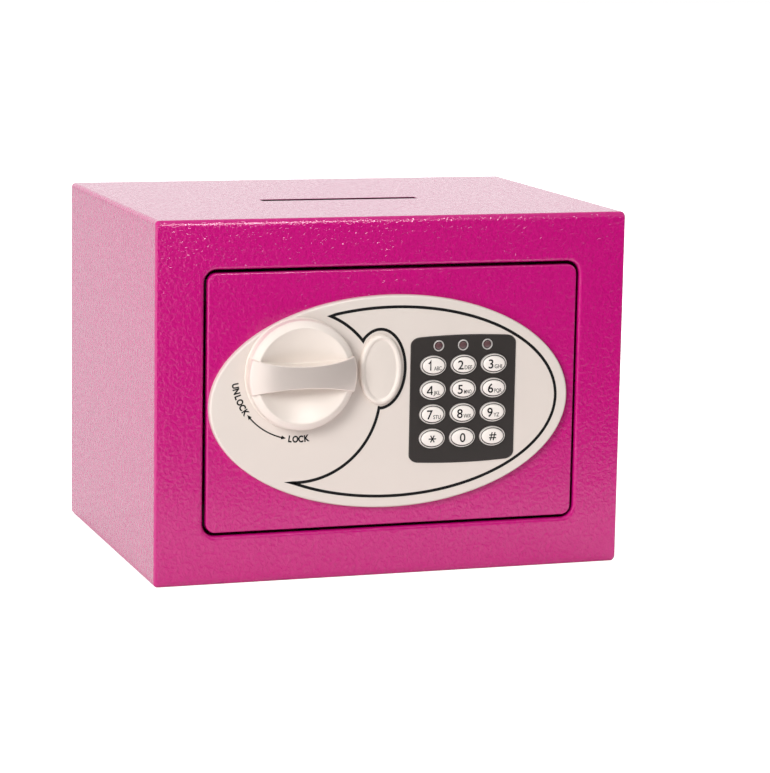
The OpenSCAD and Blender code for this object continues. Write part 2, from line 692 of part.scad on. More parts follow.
cabinet_shell();
back_panel();
door_stops();
hinge_lugs();
hinge_rods();
door_panel();
hinge_arms();
door_cover();
cover_posts();
cover_screws();
bolt_guide();
guide_studs();
stud_clips();
faceplate();
faceplate_screws();
spindle_bush();
keypad_panel();
led_bezels();
led_lenses();
keypad_board();
wire_leads();
lock_barrel();
lock_nut();
solenoid_frame();
solenoid_coil();
plunger_spring();
battery_tray();
battery_cells();
battery_contacts();
reset_switch();
knob_body();
knob_grip();
knob_spindle();
bolt_cam();
drive_pin();
cam_screw();
bolt_carriage();
lock_bolts();
bolt_screws();
solenoid_plunger();
lock_plug();
override_cam();
override_screw();
override_cover();
key_1();
key_2();
key_3();
key_4();
key_5();
key_6();
key_7();
key_8();
key_9();
key_star();
key_0();
key_hash();
battery_lid();
reset_button();
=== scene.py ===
from functools import cache
from math import atan2, cos, hypot, pi, radians, sin, sqrt

import bmesh
import bpy
from mathutils import Matrix, Vector


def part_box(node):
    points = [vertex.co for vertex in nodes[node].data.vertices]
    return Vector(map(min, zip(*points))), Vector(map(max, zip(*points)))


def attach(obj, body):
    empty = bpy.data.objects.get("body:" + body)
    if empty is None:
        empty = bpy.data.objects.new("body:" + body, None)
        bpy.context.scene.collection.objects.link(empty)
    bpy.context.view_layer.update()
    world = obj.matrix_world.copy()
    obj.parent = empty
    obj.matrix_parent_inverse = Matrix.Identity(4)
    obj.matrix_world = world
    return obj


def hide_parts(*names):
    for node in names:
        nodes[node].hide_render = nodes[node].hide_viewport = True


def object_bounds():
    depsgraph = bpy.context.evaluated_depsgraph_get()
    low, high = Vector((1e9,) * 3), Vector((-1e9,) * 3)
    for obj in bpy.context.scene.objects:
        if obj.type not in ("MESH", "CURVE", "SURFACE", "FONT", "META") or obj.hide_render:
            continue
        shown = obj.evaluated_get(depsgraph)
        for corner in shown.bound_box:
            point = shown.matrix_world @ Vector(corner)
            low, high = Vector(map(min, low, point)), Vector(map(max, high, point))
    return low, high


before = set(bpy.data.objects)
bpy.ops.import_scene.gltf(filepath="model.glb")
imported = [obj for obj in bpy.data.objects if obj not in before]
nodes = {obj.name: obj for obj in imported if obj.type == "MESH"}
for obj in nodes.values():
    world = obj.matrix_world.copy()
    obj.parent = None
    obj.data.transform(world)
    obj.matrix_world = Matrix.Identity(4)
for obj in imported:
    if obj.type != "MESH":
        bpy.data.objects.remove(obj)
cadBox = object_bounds()
mm = 0.001
clear = 1 * mm  # how far a cutter stands clear of what it cuts
axis = 0.02  # mm, where a turned profile ends, just off its axis
print("frame loaded,", len(nodes), "nodes")


def rgb(red, green, blue):  # screen colour to the linear colour a socket takes
    linear = [c / 255 / 12.92 if c < 10.3 else ((c / 255 + 0.055) / 1.055) ** 2.4 for c in (red, green, blue)]
    return (*linear, 1)


def newGroup(name, inputs, outputs):  # a tuple, or the output Colour, makes a colour socket
    group = bpy.data.node_groups.new(name, "ShaderNodeTree")
    for label, value in inputs.items():
        kind = "NodeSocketColor" if isinstance(value, tuple) else "NodeSocketFloat"
        group.interface.new_socket(label, in_out="INPUT", socket_type=kind).default_value = value
    for label in outputs:
        kind = "NodeSocketColor" if label == "Colour" else "NodeSocketFloat"
        group.interface.new_socket(label, in_out="OUTPUT", socket_type=kind)
    return group, group.nodes.new("NodeGroupInput").outputs, group.nodes.new("NodeGroupOutput").inputs


def addNode(tree, kind, inputs=(), **settings):  # an input given as a socket is linked
    node = tree.nodes.new(kind)
    for key, value in settings.items():
        setattr(node, key, value)
    for key, value in dict(inputs).items():
        if isinstance(value, bpy.types.NodeSocket):
            tree.links.new(value, node.inputs[key])
        else:
            node.inputs[key].default_value = value
    return node


def calc(tree, operation, *terms, clamp=False):
    node = addNode(tree, "ShaderNodeMath", enumerate(terms), operation=operation, use_clamp=clamp)
    return node.outputs[0]


def vary(tree, source, low, high, start=0.0, end=1.0, way="LINEAR"):  # stretch start..end to low..high
    inputs = {"Value": source, "From Min": start, "From Max": end, "To Min": low, "To Max": high}
    return addNode(tree, "ShaderNodeMapRange", inputs, interpolation_type=way).outputs["Result"]


def shade(tree, colour, factor):  # the colour a little lighter or darker
    return addNode(tree, "ShaderNodeHueSaturation", {"Color": colour, "Value": factor}).outputs["Color"]


def objectPlace(tree):
    return addNode(tree, "ShaderNodeTexCoord").outputs["Object"]


def noise(tree, place, scale, detail, bend=0.0):
    inputs = {"Vector": place, "Scale": scale, "Detail": detail, "Distortion": bend}
    return addNode(tree, "ShaderNodeTexNoise", inputs).outputs["Fac"]


# lumpy baked paint: low waves with small steep pimples between them
hammer = {
    "waveDetail": 2.0, "waveBend": 0.5, "waveRise": 1.3,
    "pimpleCrowd": 1.25, "pimpleReach": 0.2, "pimpleRise": 0.25,
    "tone": (0.93, 1.07), "gloss": (0.75, 1.25), "lacquer": (0.6, 1.28), "lacquerWaves": (0.36, 0.64)}


def buildHammerSkin():
    group, into, out = newGroup(
        "hammerSkin", {"Tint": (1, 1, 1, 1), "Wave Scale": 700.0, "Gloss": 0.3, "Lacquer": 0.5},
        ("Colour", "Roughness", "Height", "Coat"))
    link = group.links.new
    place = objectPlace(group)
    waves = noise(group, place, into["Wave Scale"], hammer["waveDetail"], hammer["waveBend"])
    crowd = calc(group, "MULTIPLY", into["Wave Scale"], hammer["pimpleCrowd"])
    pimples = addNode(group, "ShaderNodeTexVoronoi", {"Vector": place, "Scale": crowd}).outputs
    rise = vary(group, pimples["Color"], 0.0, hammer["pimpleRise"])  # no two alike
    steep = vary(group, pimples["Distance"], rise, 0.0, 0.0, hammer["pimpleReach"], "SMOOTHSTEP")
    link(calc(group, "MULTIPLY_ADD", waves, hammer["waveRise"], steep), out["Height"])
    link(shade(group, into["Tint"], vary(group, waves, *hammer["tone"])), out["Colour"])
    link(calc(group, "MULTIPLY", vary(group, waves, *hammer["gloss"]), into["Gloss"]), out["Roughness"])
    patchy = vary(group, waves, *hammer["lacquer"], *hammer["lacquerWaves"])
    link(calc(group, "MULTIPLY", patchy, into["Lacquer"], clamp=True), out["Coat"])
    return group


# moulded or sprayed surface: very fine grain and faint handling marks
grain = {"detail": 1.0, "smudgeScale": 45.0, "smudgeDetail": 4.0, "gloss": (0.85, 1.15)}


def buildFineGrain():
    group, into, out = newGroup(
        "fineGrain", {"Tint": (1, 1, 1, 1), "Grain Scale": 4000.0, "Rough": 0.4, "Mottle": 0.02},
        ("Colour", "Roughness", "Height"))
    link = group.links.new
    place = objectPlace(group)
    smudge = noise(group, place, grain["smudgeScale"], grain["smudgeDetail"])
    swing = calc(group, "MULTIPLY_ADD", vary(group, smudge, -1.0, 1.0), into["Mottle"], 1.0)
    link(noise(group, place, into["Grain Scale"], grain["detail"]), out["Height"])
    link(shade(group, into["Tint"], swing), out["Colour"])
    link(calc(group, "MULTIPLY", vary(group, smudge, *grain["gloss"]), into["Rough"]), out["Roughness"])
    return group


# drawn or turned metal: long streaks along X
brush = {"squeeze": (60, 2500, 2500), "detail": 3.0, "tone": (0.88, 1.1), "gloss": (0.7, 1.3)}


def buildBrushedMetal():
    group, into, out = newGroup(
        "brushedMetal", {"Tint": (1, 1, 1, 1), "Rough": 0.35}, ("Colour", "Roughness", "Height"))
    link = group.links.new
    squeeze = addNode(group, "ShaderNodeMapping", {"Vector": objectPlace(group), "Scale": brush["squeeze"]})
    streak = noise(group, squeeze.outputs["Vector"], 1.0, brush["detail"])
    link(streak, out["Height"])
    link(shade(group, into["Tint"], vary(group, streak, *brush["tone"])), out["Colour"])
    link(calc(group, "MULTIPLY", vary(group, streak, *brush["gloss"]), into["Rough"]), out["Roughness"])
    return group


hammerSkin, fineGrain, brushedMetal = buildHammerSkin(), buildFineGrain(), buildBrushedMetal()


def newFinish(name, group, values, bump, sockets):
    finish = bpy.data.materials.new(name)
    finish.use_nodes = True
    tree = finish.node_tree
    shader = tree.nodes["Principled BSDF"]
    for label, value in sockets.items():
        shader.inputs[label].default_value = value
    look = addNode(tree, "ShaderNodeGroup", values, node_tree=group).outputs
    for label, socket in (("Colour", "Base Color"), ("Roughness", "Roughness"), ("Coat", "Coat Weight")):
        if label in look:
            tree.links.new(look[label], shader.inputs[socket])
    if bump:
        inputs = {"Strength": bump[0], "Distance": bump[1], "Height": look["Height"]}
        tree.links.new(addNode(tree, "ShaderNodeBump", inputs).outputs["Normal"], shader.inputs["Normal"])
    return finish


def paintFinish(name, tint, waveScale, gloss, bump, lacquer):
    values = {"Tint": tint, "Wave Scale": waveScale, "Gloss": gloss, "Lacquer": lacquer}
    return newFinish(name, hammerSkin, values, bump, {"Coat Roughness": 0.19, "Specular IOR Level": 0.62})


def plasticFinish(name, tint, rough, mottle=0.02, bump=None, **sockets):
    return newFinish(name, fineGrain, {"Tint": tint, "Rough": rough, "Mottle": mottle}, bump,
                     {key.replace("_", " "): value for key, value in sockets.items()})


def metalFinish(name, tint, rough, bump=(0.15, 0.00002)):
    return newFinish(name, brushedMetal, {"Tint": tint, "Rough": rough}, bump, {"Metallic": 1.0})


# one finish for each of the record's slots; a bump is (strength, depth)
finishes = {
    "paint": paintFinish("hammeredPink", rgb(192, 8, 118), 540.0, 0.11, (1.0, 0.0004), 0.62),
    "cover_paint": paintFinish("charcoalPowder", rgb(52, 52, 54), 1500.0, 0.5, (0.3, 0.00008), 0.1),
    "steel": metalFinish("zincPlate", rgb(186, 187, 184), 0.36),
    "bolt": metalFinish("brightBolt", rgb(206, 206, 204), 0.4),
    "brass": metalFinish("turnedBrass", rgb(206, 172, 96), 0.3),
    "faceplate": plasticFinish("satinSilver", rgb(225, 214, 206), 0.45, 0.012, (0.05, 0.00002), Metallic=0.1),
    "knob": plasticFinish("silverPaint", rgb(234, 223, 214), 0.38, 0.01, Metallic=0.15),
    "grip": plasticFinish("satinStrip", rgb(243, 230, 222), 0.3, 0.01, Metallic=0.5),
    "keypad": plasticFinish("charcoalPanel", rgb(49, 44, 42), 0.45, 0.04, (0.1, 0.00003)),
    "key": plasticFinish("ivoryKey", rgb(236, 228, 222), 0.35, 0.01),
    "bezel": plasticFinish("bezelRing", rgb(206, 200, 197), 0.3, 0.01, Metallic=0.3),
    "lens": plasticFinish("smokedLens", rgb(96, 70, 72), 0.12, 0.03, Coat_Weight=0.6),
    "board": plasticFinish("boardLacquer", rgb(30, 92, 56), 0.35),
    "wire": plasticFinish("redSleeve", rgb(176, 34, 30), 0.4),
    "coil": plasticFinish("coilTape", rgb(196, 130, 62), 0.3),
    "cell": plasticFinish("cellJacket", rgb(60, 66, 74), 0.28, 0.03, Coat_Weight=0.4),
    "black_plastic": plasticFinish("blackMoulding", rgb(36, 36, 38), 0.46, 0.06, (0.2, 0.00003)),
    "red_plastic": plasticFinish("redButton", rgb(190, 28, 30), 0.35),
}
# finishes for details that are only in the scene
# black ink for print, and painted shade in the keys' grooves
inkAndShade = plasticFinish("blackInkAndShade", rgb(12, 11, 12), 0.6, Specular_IOR_Level=0.3)
# painted shade: a dark finish for the coin slot's walls and the door stops, which stand in shade
paintedShade = plasticFinish("paintedShade", rgb(46, 26, 32), 0.7, Specular_IOR_Level=0.2)
keyRing = plasticFinish("keyRing", rgb(212, 205, 200), 0.4)
print("finishes made,", len(finishes) + 3)


# shapes are in the frame's metres, with the front towards -Y
def roundedRect(width, height, radius, steps=8):
    points = []
    for quarter, (sx, sz) in enumerate(((1, 1), (-1, 1), (-1, -1), (1, -1))):
        for i in range(steps + 1):
            turn = pi / 2 * (quarter + i / steps)
            points.append((sx * (width / 2 - radius) + radius * cos(turn),
                           sz * (height / 2 - radius) + radius * sin(turn)))
    return points


def ellipse(width, height, steps=96):
    turns = [2 * pi * i / steps for i in range(steps)]
    return [(width / 2 * cos(turn), height / 2 * sin(turn)) for turn in turns]


def circle(across, steps):
    return ellipse(across, across, steps)


def rectIn(size, inset, radius, steps=8):  # inside a node's front outline
    return roundedRect(size.x - 2 * inset, size.z - 2 * inset, radius, steps)


def inFront(points, y, x, z):  # an outline in the XZ plane
    return [Vector((x + u, y, z + v)) for u, v in points]


def onTop(points, z, x, y):  # an outline in the XY plane
    return [Vector((x + u, y + v, z)) for u, v in points]


def rolled(edge, steps=4):  # (inset, drop) round a quarter edge, from its side to its face
    turns = [pi / 2 * i / steps for i in range(steps + 1)]
    return [(edge * (1 - cos(turn)), edge * (1 - sin(turn))) for turn in turns]


def skin(loops, wrap=False, paint=None):  # faces between rings of points, joined round or capped
    bm = bmesh.new()
    rows = [[bm.verts.new(point) for point in loop] for loop in loops]
    count = len(rows[0])
    for level, (lower, upper) in enumerate(zip(rows, rows[1:] + rows[:1] if wrap else rows[1:])):
        for i in range(count):
            j = (i + 1) % count
            face = bm.faces.new((lower[i], lower[j], upper[j], upper[i]))
            face.material_index = paint[level] if paint else 0
    if not wrap:
        bm.faces.new(rows[0])
        bm.faces.new(rows[-1])
    bmesh.ops.recalc_face_normals(bm, faces=bm.faces)
    return bm


def turned(profile, x, y, z, steps=128, wrap=False):  # profile of (radius, height out of the front) in mm
    return skin([inFront(circle(2 * r * mm, steps), y - h * mm, x, z) for r, h in profile], wrap)


def alongX(profile, y, z, steps=64):  # profile of (radius, x) in metres
    turns = [2 * pi * i / steps for i in range(steps)]
    return [[Vector((x, y + r * cos(turn), z + r * sin(turn))) for turn in turns] for r, x in profile]


def newObject(name, data):
    fresh = bpy.data.objects.new(name, data)
    bpy.context.scene.collection.objects.link(fresh)
    return fresh


def rawPiece(name, bm):
    mesh = bpy.data.meshes.new(name)
    bm.to_mesh(mesh)
    bm.free()
    return newObject(name, mesh)


def pour(target, bm):  # add one mesh to another
    spare = bpy.data.meshes.new("spare")
    bm.to_mesh(spare)
    bm.free()
    target.from_mesh(spare)
    bpy.data.meshes.remove(spare)


def resultMesh(piece):  # the shape that its modifiers or its text give
    bpy.context.view_layer.update()
    graph = bpy.context.evaluated_depsgraph_get()
    return bpy.data.meshes.new_from_object(piece.evaluated_get(graph))


def bake(piece):
    mesh = resultMesh(piece)
    piece.modifiers.clear()
    piece.data = mesh
    mesh.name = piece.name


def carve(piece, *cutters):
    for cutter in cutters:
        cut = piece.modifiers.new("cut", "BOOLEAN")
        cut.object, cut.operation, cut.solver = cutter, "DIFFERENCE", "EXACT"
    bake(piece)
    for cutter in cutters:
        bpy.data.objects.remove(cutter)
    return piece


def slotOf(node):
    return nodes[node].data.materials[0].name


def dress(piece, body, stands=(), slotName=None, sharp=35, also=(), flat=True):
    slotName = slotName or slotOf(stands[0])  # as the node it stands for, unless said
    for finish in (finishes[slotName], *also):
        piece.data.materials.append(finish)
    piece.data.shade_smooth()
    piece.data.set_sharp_from_angle(angle=radians(sharp))
    if flat:
        even = piece.modifiers.new("even", "WEIGHTED_NORMAL")  # broad faces keep their own normal
        even.keep_sharp = True
    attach(piece, body)
    if stands:
        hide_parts(*stands)
    return piece


def block(low, high, name="cutter"):
    bm = bmesh.new()
    bmesh.ops.create_cube(bm, size=1.0)
    for v in bm.verts:
        v.co = Vector(a + (b - a) * (c + 0.5) for a, b, c in zip(low, high, v.co))
    return rawPiece(name, bm)


def prism(points, y0, y1, x, z):
    return rawPiece("cutter", skin([inFront(points, y, x, z) for y in (y0, y1)]))


def middle(node):
    low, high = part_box(node)
    return (low + high) / 2


def sizeOf(node):
    low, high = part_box(node)
    return high - low


# door piece with a rolled front edge; outline gives its points for an inset
def buildPlate(name, node, outline, edge, openings, steps=4):
    (low, high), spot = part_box(node), middle(node)
    loops = [inFront(outline(0), high.y, spot.x, spot.z)]
    loops += [inFront(outline(inset), low.y + drop, spot.x, spot.z) for inset, drop in rolled(edge, steps)]
    plate = rawPiece(name, skin(loops))
    cutters = []
    for other, points in openings.items():  # each opening is where another node stands
        spot = middle(other)
        cutters.append(prism(points, low.y - clear, high.y + clear, spot.x, spot.z))
    dress(carve(plate, *cutters), "door", [node])


# one sheet shell with rolled edges, the door frame and the coin slot
cabinet = {
    "roll": (1.0 * mm, 1.8 * mm, 3.6 * mm), "sideRadius": 2.2 * mm, "leastRadius": 0.1 * mm,
    "sheet": 2 * mm, "frameEdge": 1.8 * mm, "frameCorner": 6 * mm, "doorGap": 1.5 * mm,
    "backInset": 0.3 * mm, "backDrop": 0.4 * mm,
    "slotMiddle": (-4 * mm, -9.5 * mm), "slotSize": (79 * mm, 7 * mm), "slotCorner": 1 * mm,
    "slotLip": 0.1 * mm, "slotCut": 8 * mm,
    "anchorX": 50 * mm, "anchorY": 25 * mm, "anchorRadius": 4.5 * mm, "anchorCut": (-2 * mm, 5 * mm)}


def buildCabinet():
    low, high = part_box("cabinet_shell")
    doorSize = sizeOf("door_panel")
    width, height = high.x - low.x, high.z - low.z
    holeW, holeH = (side + 2 * cabinet["doorGap"] for side in (doorSize.x, doorSize.z))
    rollX, rollY, rollZ = cabinet["roll"]
    radius, sheet, corner = cabinet["sideRadius"], cabinet["sheet"], cabinet["frameCorner"]
    zMid = (low.z + high.z) / 2

    def loop(w, h, r, y):
        return inFront(roundedRect(w, h, max(r, cabinet["leastRadius"])), y, 0, zMid)

    loops = [loop(holeW, holeH, corner, low.y + sheet)]
    for grow, drop in rolled(cabinet["frameEdge"]):  # frame edge rolls from the opening to the front
        loops.append(loop(holeW + 2 * grow, holeH + 2 * grow, corner + grow, low.y + drop))
    for drop, inset in rolled(1.0, 8):  # front rolls into the sides
        narrow, short = 2 * rollX * inset, 2 * rollZ * inset
        loops.append(loop(width - narrow, height - short, radius - narrow / 2, low.y + rollY * drop))
    bevel = 2 * cabinet["backInset"]
    loops.append(loop(width, height, radius, high.y - cabinet["backDrop"]))
    loops.append(loop(width - bevel, height - bevel, radius, high.y))
    for y in (high.y, low.y + sheet):
        loops.append(loop(width - 2 * sheet, height - 2 * sheet, radius - sheet, y))
    shell = rawPiece("cabinetShell", skin(loops, wrap=True))

    slotX, slotY = cabinet["slotMiddle"]
    slotW, slotD = cabinet["slotSize"]
    flare = cabinet["slotLip"]
    rings = []
    for z, grow in ((high.z - cabinet["slotCut"], 0), (high.z - flare, 0), (high.z + flare, 2 * flare)):
        outline = roundedRect(slotW + 2 * grow, slotD + 2 * grow, cabinet["slotCorner"] + grow)
        rings.append(onTop(outline, z, slotX, slotY))
    cutters = [rawPiece("cutter", skin(rings))]
    outline = circle(2 * cabinet["anchorRadius"], 48)
    for x in (-cabinet["anchorX"], cabinet["anchorX"]):
        rings = [onTop(outline, low.z + h, x, cabinet["anchorY"]) for h in cabinet["anchorCut"]]
        cutters.append(rawPiece("cutter", skin(rings)))
    carve(shell, *cutters)
    for face in shell.data.polygons:  # painted shade: the slot's walls get a dark finish, for the shade inside the slot
        x, y, z = face.center
        inSlot = (abs(x - slotX) < slotW / 2 + flare and abs(y - slotY) < slotD / 2 + flare
                  and z > high.z - sheet - clear)
        face.material_index = int(inSlot and abs(face.normal.z) < 0.5)
    dress(shell, "cabinet", ["cabinet_shell"], also=(paintedShade,))


buildCabinet()
print("cabinet built")


# flush in the frame; a flanged node's hole is smaller than its flange
door = {
    "edge": 0.9 * mm, "corner": 4.5 * mm, "flanges": {"lock_barrel": 3 * mm, "spindle_bush": 4 * mm},
    "holeSlack": 0.2 * mm, "boardSlack": 0.5 * mm, "boardCorner": 2 * mm}


def buildDoor():
    size = sizeOf("door_panel")

    def outline(inset):
        return rectIn(size, inset, door["corner"] - inset)

    openings = {node: circle(sizeOf(node).x + (door["holeSlack"] - flange), 48)
                for node, flange in door["flanges"].items()}
    openings["keypad_board"] = rectIn(sizeOf("keypad_board"), -door["boardSlack"], door["boardCorner"])
    buildPlate("doorPlate", "door_panel", outline, door["edge"], openings)


buildDoor()
print("door built")


# lands are what stays under the edge of the cap and of the keypad panel
faceplate = {
    "edge": 1.1 * mm, "edgeSteps": 6, "outlineSteps": 160, "capLand": (1.5 * mm, 1.9 * mm),
    "bushSlack": 1 * mm, "panelLand": 2.5 * mm, "panelCorner": 3 * mm}


def buildFaceplate():
    size = sizeOf("faceplate")

    def outline(inset):
        return ellipse(size.x - 2 * inset, size.z - 2 * inset, faceplate["outlineSteps"])

    cover, (landX, landZ) = sizeOf("override_cover"), faceplate["capLand"]
    panel = rectIn(sizeOf("keypad_panel"), faceplate["panelLand"], faceplate["panelCorner"])
    openings = {"override_cover": ellipse(cover.x - 2 * landX, cover.z - 2 * landZ, 64),
                "spindle_bush": circle(sizeOf("spindle_bush").x + faceplate["bushSlack"], 48),
                "keypad_panel": panel}
    buildPlate("facePlate", "faceplate", outline, faceplate["edge"], openings, faceplate["edgeSteps"])


buildFaceplate()
print("faceplate built")


# places on the plate are in mm from its middle, angles in degrees round the knob
printing = {
    "line": 1.4, "mitre": 0.28, "lift": 0.05 * mm,
    "outer": (82.0, 44.7), "upperTip": (-30.5, 41.2), "lowerTip": (-49.7, -36.1),
    "sweep": (-46.0, 4.0), "lobe": (-6.2, 15.8), "lobeSize": (12.5, 18.6),
    "lobeLow": (-6.3, -2.5), "lobeHigh": (-14.6, 29.1),
    "arrowRadius": 30.7, "arrowFrom": 221.0, "arrowTo": 254.6, "arrowLine": 0.65,
    "arrowHead": 2.3, "arrowSpread": 0.42,
    # each word's first angle and its step
    "words": {"UNLOCK": (188.8, 5.0), "LOCK": (262.6, 4.9)}, "wordRadius": 32.2,
    "letterHeight": 2.9, "letterWide": 0.84, "letterBold": 0.042}


def angleOn(centre, size, point):
    return atan2((point[1] - centre[1]) / size[1], (point[0] - centre[0]) / size[0])


def arc(centre, size, start, end, steps):
    turns = [start + (end - start) * i / steps for i in range(steps + 1)]
    return [(centre[0] + size[0] * cos(turn), centre[1] + size[1] * sin(turn)) for turn in turns]


def arcBetween(centre, size, first, last, steps):
    return arc(centre, size, angleOn(centre, size, first), angleOn(centre, size, last), steps)


def sweepBetween(first, last, steps):  # the radius drifts a little so the ends meet the corners
    u, v = printing["sweep"]
    reach = [hypot(x - u, y - v) for x, y in (first, last)]
    turn = [angleOn((u, v), (1, 1), point) for point in (first, last)]
    path = []
    for t in (i / steps for i in range(steps + 1)):
        r, a = (start + (end - start) * t for start, end in (reach, turn))
        path.append((u + r * cos(a), v + r * sin(a)))
    return path


def trimPath():
    upper, lower, lobeLow, lobeHigh = (printing[k] for k in ("upperTip", "lowerTip", "lobeLow", "lobeHigh"))
    path = [upper] + arcBetween((0, 0), printing["outer"], upper, lower, 120)[1:-1]
    path += sweepBetween(lower, lobeLow, 40)
    path += arcBetween(printing["lobe"], printing["lobeSize"], lobeLow, lobeHigh, 48)[1:-1]
    return path + sweepBetween(lobeHigh, upper, 14)[:-1]


def ribbon(bm, path, width, closed, place):  # a flat inked line with mitred corners
    count = len(path)
    rails = [[], []]
    for i, (u, v) in enumerate(path):
        before = path[i - 1] if closed or i else None
        after = path[(i + 1) % count] if closed or i < count - 1 else None
        ways = []
        for a, b in ((before, (u, v)), ((u, v), after)):
            if a and b:
                length = hypot(b[0] - a[0], b[1] - a[1]) or 1.0
                ways.append(((b[0] - a[0]) / length, (b[1] - a[1]) / length))
        first, last = ways[0], ways[-1]
        normal = Vector((-(first[1] + last[1]), first[0] + last[0]))
        square = Vector((-first[1], first[0]))
        normal = normal.normalized() if normal.length > 1e-6 else square
        reach = width / 2 / max(normal.dot(square), printing["mitre"])
        for rail, side in zip(rails, (1, -1)):
            rail.append((u + side * normal.x * reach, v + side * normal.y * reach))
    lift = printing["lift"]
    tops = [[bm.verts.new(place(u, v, -lift)) for u, v in rail] for rail in rails]
    feet = [[bm.verts.new(place(u, v, lift)) for u, v in rail] for rail in rails]
    rows = [tops[0], tops[1], feet[1], feet[0]]
    for i in range(count if closed else count - 1):
        j = (i + 1) % count
        for a, b in zip(rows, rows[1:] + rows[:1]):
            bm.faces.new((a[i], a[j], b[j], b[i]))
    if not closed:
        for i in (0, -1):
            bm.faces.new([row[i] for row in rows])


@cache
def letterShape(text, bold=0.0):  # flat letters on their baseline, centred on x
    curve = bpy.data.curves.new("letters", "FONT")
    curve.body, curve.align_x, curve.resolution_u, curve.offset = text, "CENTER", 4, bold
    carrier = newObject("letters", curve)
    mesh = resultMesh(carrier)
    bpy.data.objects.remove(carrier)
    bpy.data.curves.remove(curve)
    return mesh


capHeight = max(v.co.y for v in letterShape("H").vertices)


def stamp(bm, text, height, u, v, turn, place, wide=1.0, bold=0.0):  # (u, v) is the middle of the baseline
    scale = height / capHeight
    lift = printing["lift"]
    fresh = bmesh.new()
    fresh.from_mesh(letterShape(text, bold))
    made = bmesh.ops.extrude_face_region(fresh, geom=fresh.faces[:])
    raised = {part for part in made["geom"] if isinstance(part, bmesh.types.BMVert)}
    for vert in fresh.verts:
        x, y = vert.co.x * scale * wide, vert.co.y * scale
        du, dv = x * cos(turn) - y * sin(turn), x * sin(turn) + y * cos(turn)
        vert.co = place(u + du, v + dv, -lift if vert in raised else lift)
    bmesh.ops.recalc_face_normals(fresh, faces=fresh.faces)
    pour(bm, fresh)


def buildPrinting():
    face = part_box("faceplate")[0].y
    mid, hub = middle("faceplate"), middle("knob_body")
    hubU, hubV = (hub.x - mid.x) / mm, (hub.z - mid.z) / mm

    def place(u, v, lift):
        return Vector((mid.x + u * mm, face + lift, mid.z + v * mm))

    bm = bmesh.new()
    ribbon(bm, trimPath(), printing["line"], True, place)
    radius, head, lift = printing["arrowRadius"], printing["arrowHead"], printing["lift"]
    start, end = radians(printing["arrowFrom"]), radians(printing["arrowTo"])
    ribbon(bm, arc((hubU, hubV), (radius, radius), start, end, 24), printing["arrowLine"], False, place)
    spread = printing["arrowSpread"] * head
    for angle, way in ((start, -1), (end, 1)):
        ends = ((radius, angle + way * head / radius), (radius + spread, angle), (radius - spread, angle))
        corners = [(hubU + r * cos(a), hubV + r * sin(a)) for r, a in ends]
        tops = [bm.verts.new(place(u, v, -lift)) for u, v in corners]
        feet = [bm.verts.new(place(u, v, lift)) for u, v in corners]
        bm.faces.new(tops)
        bm.faces.new(feet[::-1])
        for i in range(3):
            j = (i + 1) % 3
            bm.faces.new((tops[i], feet[i], feet[j], tops[j]))
    stand = printing["wordRadius"]
    for word, (first, step) in printing["words"].items():
        for i, letter in enumerate(word):  # letters stand with their heads towards the knob
            angle = radians(first + step * i)
            stamp(bm, letter, printing["letterHeight"], hubU + stand * cos(angle), hubV + stand * sin(angle),
                  angle + pi / 2, place, printing["letterWide"], printing["letterBold"])
    bmesh.ops.recalc_face_normals(bm, faces=bm.faces)
    piece = dress(rawPiece("platePrint", bm), "door", (), "faceplate")
    piece.data.materials[0] = inkAndShade


buildPrinting()
print("plate printed")


# tapered turned body with a ball-cut dish each side of its bar, in mm with heights from the foot
knob = {
    "radius": 25.75, "footLip": 0.6, "footRound": 0.3, "taper": 0.35, "height": 12.5, "rimDrop": 4.7,
    "dishInset": 3.7, "dishLip": 0.5, "floor": 2.8, "dishSteps": 24,
    # the bevel, from the knob's radius and its own foot
    "bevelDrop": 1.5, "bevel": ((-0.9, 0.15), (-0.3, -0.5), (2, -0.5)),
    "waist": 10.3, "waistRadius": 105.0, "crestRadius": 71.0, "barReach": 27, "barSteps": 48,
    "seatSlack": 0.3, "seatDrop": 0.15, "voxel": 0.26, "ease": 0.5}
# bright strip over the bar; its section is of (share of the half width, depth)
grip = {
    "thick": 1.2, "end": 26.0, "endRoll": 1.7, "foot": (1.0, 3.5), "rollSteps": 8, "crestSteps": 32,
    "section": ((0, 0.0), (0.5, 0.0), (0.92, 0.0), (0.96, 0.04), (0.985, 0.15), (1, 0.4))}


def barHalf(x):  # half the bar's width along its length
    x = min(abs(x), grip["end"])
    return knob["waist"] / 2 + knob["waistRadius"] - sqrt(knob["waistRadius"] ** 2 - x * x)


def crestAt(x, drop=0.0):
    radius = knob["crestRadius"] - drop
    return knob["height"] - knob["crestRadius"] + sqrt(radius * radius - x * x)


def barPrism(slack, low, high, foot, hub):  # the bar's outline, between heights given for each x
    reach, steps = knob["barReach"], knob["barSteps"]
    xs = [-reach + 2 * reach * i / steps for i in range(steps + 1)]
    outline = [(x, barHalf(x) + slack) for x in xs] + [(x, -barHalf(x) - slack) for x in reversed(xs)]
    loops = [[Vector((hub.x + x * mm, foot - h(x) * mm, hub.z + z * mm)) for x, z in outline]
             for h in (low, high)]
    return rawPiece("cutter", skin(loops))


